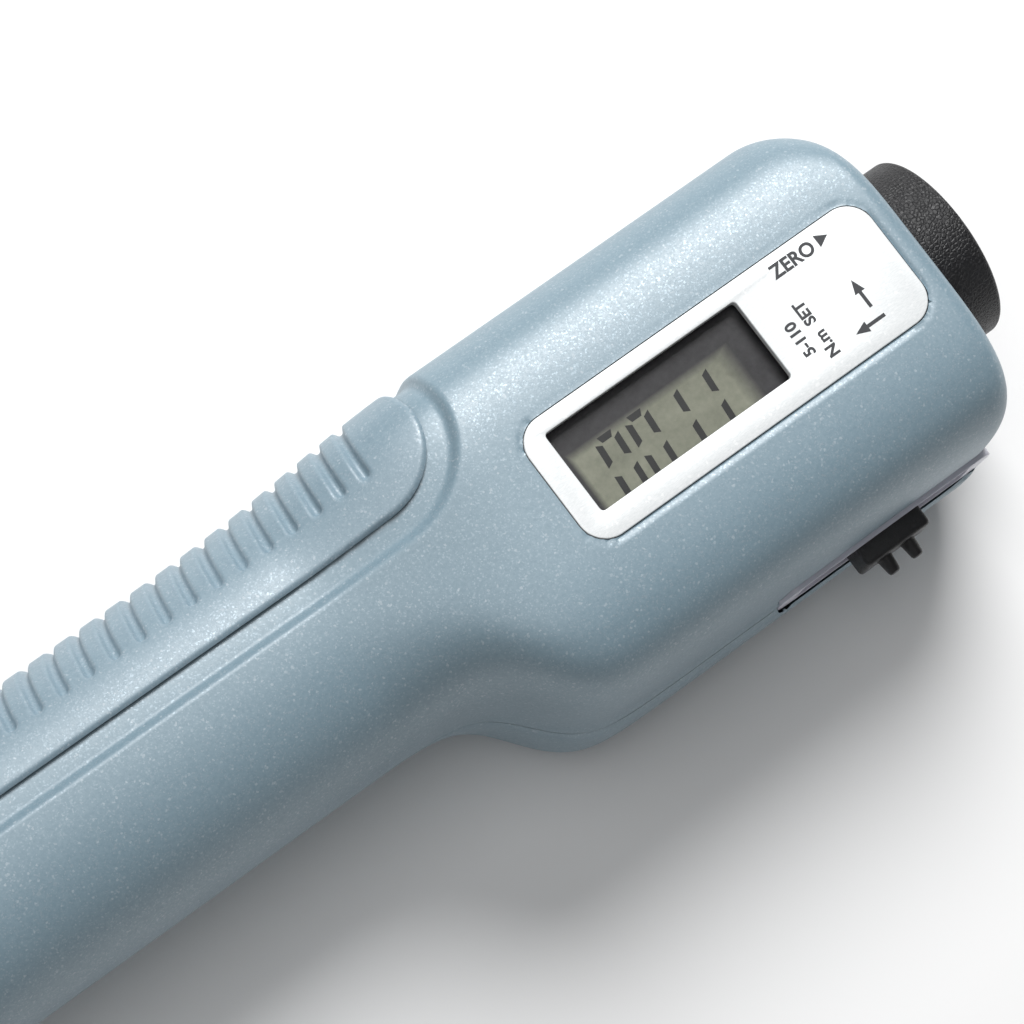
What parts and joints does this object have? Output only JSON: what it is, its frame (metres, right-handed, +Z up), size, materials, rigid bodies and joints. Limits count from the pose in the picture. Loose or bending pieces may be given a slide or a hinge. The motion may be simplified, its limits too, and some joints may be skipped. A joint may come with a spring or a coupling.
{
  "type": "torque wrench",
  "caption": "Click torque wrench with ratchet head, steel tube, plastic grip widening to a display pod, slide lock and end adjusting knob.",
  "frame": {"origin": "centre of the square drive's end face", "axes": "+X along the tool from the ratchet head to the adjusting knob, +Z up through the display, away from the square drive's end, +Y towards the ribbed flank of the grip"},
  "size_m": [0.4075, 0.0522, 0.043],
  "materials": {
    "shell_plastic": "pale blue-grey plastic with fine glitter",
    "pad_plastic": "pale blue-grey plastic with fine glitter",
    "black_plastic": "grained black",
    "silver_plate": "satin with printed marks",
    "track_plastic": "pale, smooth",
    "lens": "clear",
    "lcd": "olive-grey reflective display",
    "chrome_steel": "satin chrome",
    "steel": "machined",
    "spring_steel": "oiled",
    "brass": "machined",
    "board": "green solder mask",
    "rubber": "soft",
    "dark_plastic": "moulded"
  },
  "bodies": {
    "handle": {"shaft_tube": "chrome_steel", "pivot_pin": "steel", "screw_bush": "steel", "bush_screws": "steel", "thrust_washer": "brass", "upper_shell": "shell_plastic", "lower_shell": "shell_plastic", "rib_pad": "pad_plastic", "front_collar": "black_plastic", "shell_screws": "steel", "display_plate": "silver_plate", "window_lens": "lens", "lcd_panel": "lcd", "lcd_strips": "rubber", "circuit_board": "board", "board_screws": "steel", "encoder_sensor": "dark_plastic", "buzzer": "dark_plastic", "battery_holder": "dark_plastic", "coin_cell": "steel", "battery_contacts": "brass", "battery_door": "shell_plastic", "door_seal": "rubber", "door_screw": "steel", "slider_track": "track_plastic"},
    "head": {"head_body": "chrome_steel", "head_cover": "chrome_steel", "cover_screws": "steel", "pawl_ball": "steel", "pawl_spring": "spring_steel"},
    "drive": {"drive_gear": "chrome_steel", "detent_spring": "spring_steel"},
    "ball": {"detent_ball": "steel"},
    "reverser": {"pawl": "steel", "reversing_lever": "chrome_steel"},
    "block": {"tilt_block": "steel"},
    "plunger": {"plunger": "steel"},
    "nut": {"spring_nut": "steel", "nut_guide_pin": "steel", "main_spring": "spring_steel"},
    "screw": {"adjusting_screw": "steel", "encoder_wheel": "dark_plastic"},
    "knob": {"end_knob": "black_plastic"},
    "slider": {"lock_slider": "black_plastic"}
  },
  "joints": [
    {"name": "head_click", "type": "hinge", "parent": "handle", "child": "head", "pos_m": [0.046, 0, 0.023], "axis": [0, 0, 1], "range_deg": [-1.5, 1.5], "stiffness_Nm_per_rad": 60},
    {"name": "block_tilt", "type": "hinge", "parent": "handle", "child": "block", "pos_m": [0.0764, 0, 0.023], "axis": [0, 0, 1], "range_deg": [-6.1, 6.1]},
    {"name": "plunger_slide", "type": "slide", "parent": "handle", "child": "plunger", "axis": [1, 0, 0], "range_m": [0, 0.0006], "stiffness_N_per_m": 8000},
    {"name": "drive_spin", "type": "hinge", "parent": "head", "child": "drive", "pos_m": [0, 0, 0], "axis": [0, 0, 1], "continuous": true},
    {"name": "ball_press", "type": "slide", "parent": "drive", "child": "ball", "axis": [-1, 0, 0], "range_m": [0, 0.0008], "stiffness_N_per_m": 400, "deforming": ["detent_spring"]},
    {"name": "lever_turn", "type": "hinge", "parent": "head", "child": "reverser", "pos_m": [0.016, 0, 0.023], "axis": [0, 0, 1], "range_deg": [-28, 0]},
    {"name": "screw_turn", "type": "hinge", "parent": "handle", "child": "screw", "pos_m": [0.39, 0, 0.023], "axis": [1, 0, 0], "range_deg": [-3842, 242]},
    {"name": "nut_slide", "type": "slide", "parent": "handle", "child": "nut", "axis": [1, 0, 0], "range_m": [-0.016, 0.001], "deforming": ["main_spring"]},
    {"name": "knob_pull", "type": "slide", "parent": "screw", "child": "knob", "axis": [1, 0, 0], "range_m": [0, 0.006]},
    {"name": "slider_move", "type": "slide", "parent": "handle", "child": "slider", "axis": [1, 0, 0], "range_m": [-0.008, 0.008]}
  ],
  "couplings": [
    {"joint": "block_tilt", "follows": "head_click", "ratio": -4},
    {"joint": "screw_turn", "follows": "nut_slide", "rad_per_m": 4188.8}
  ]
}
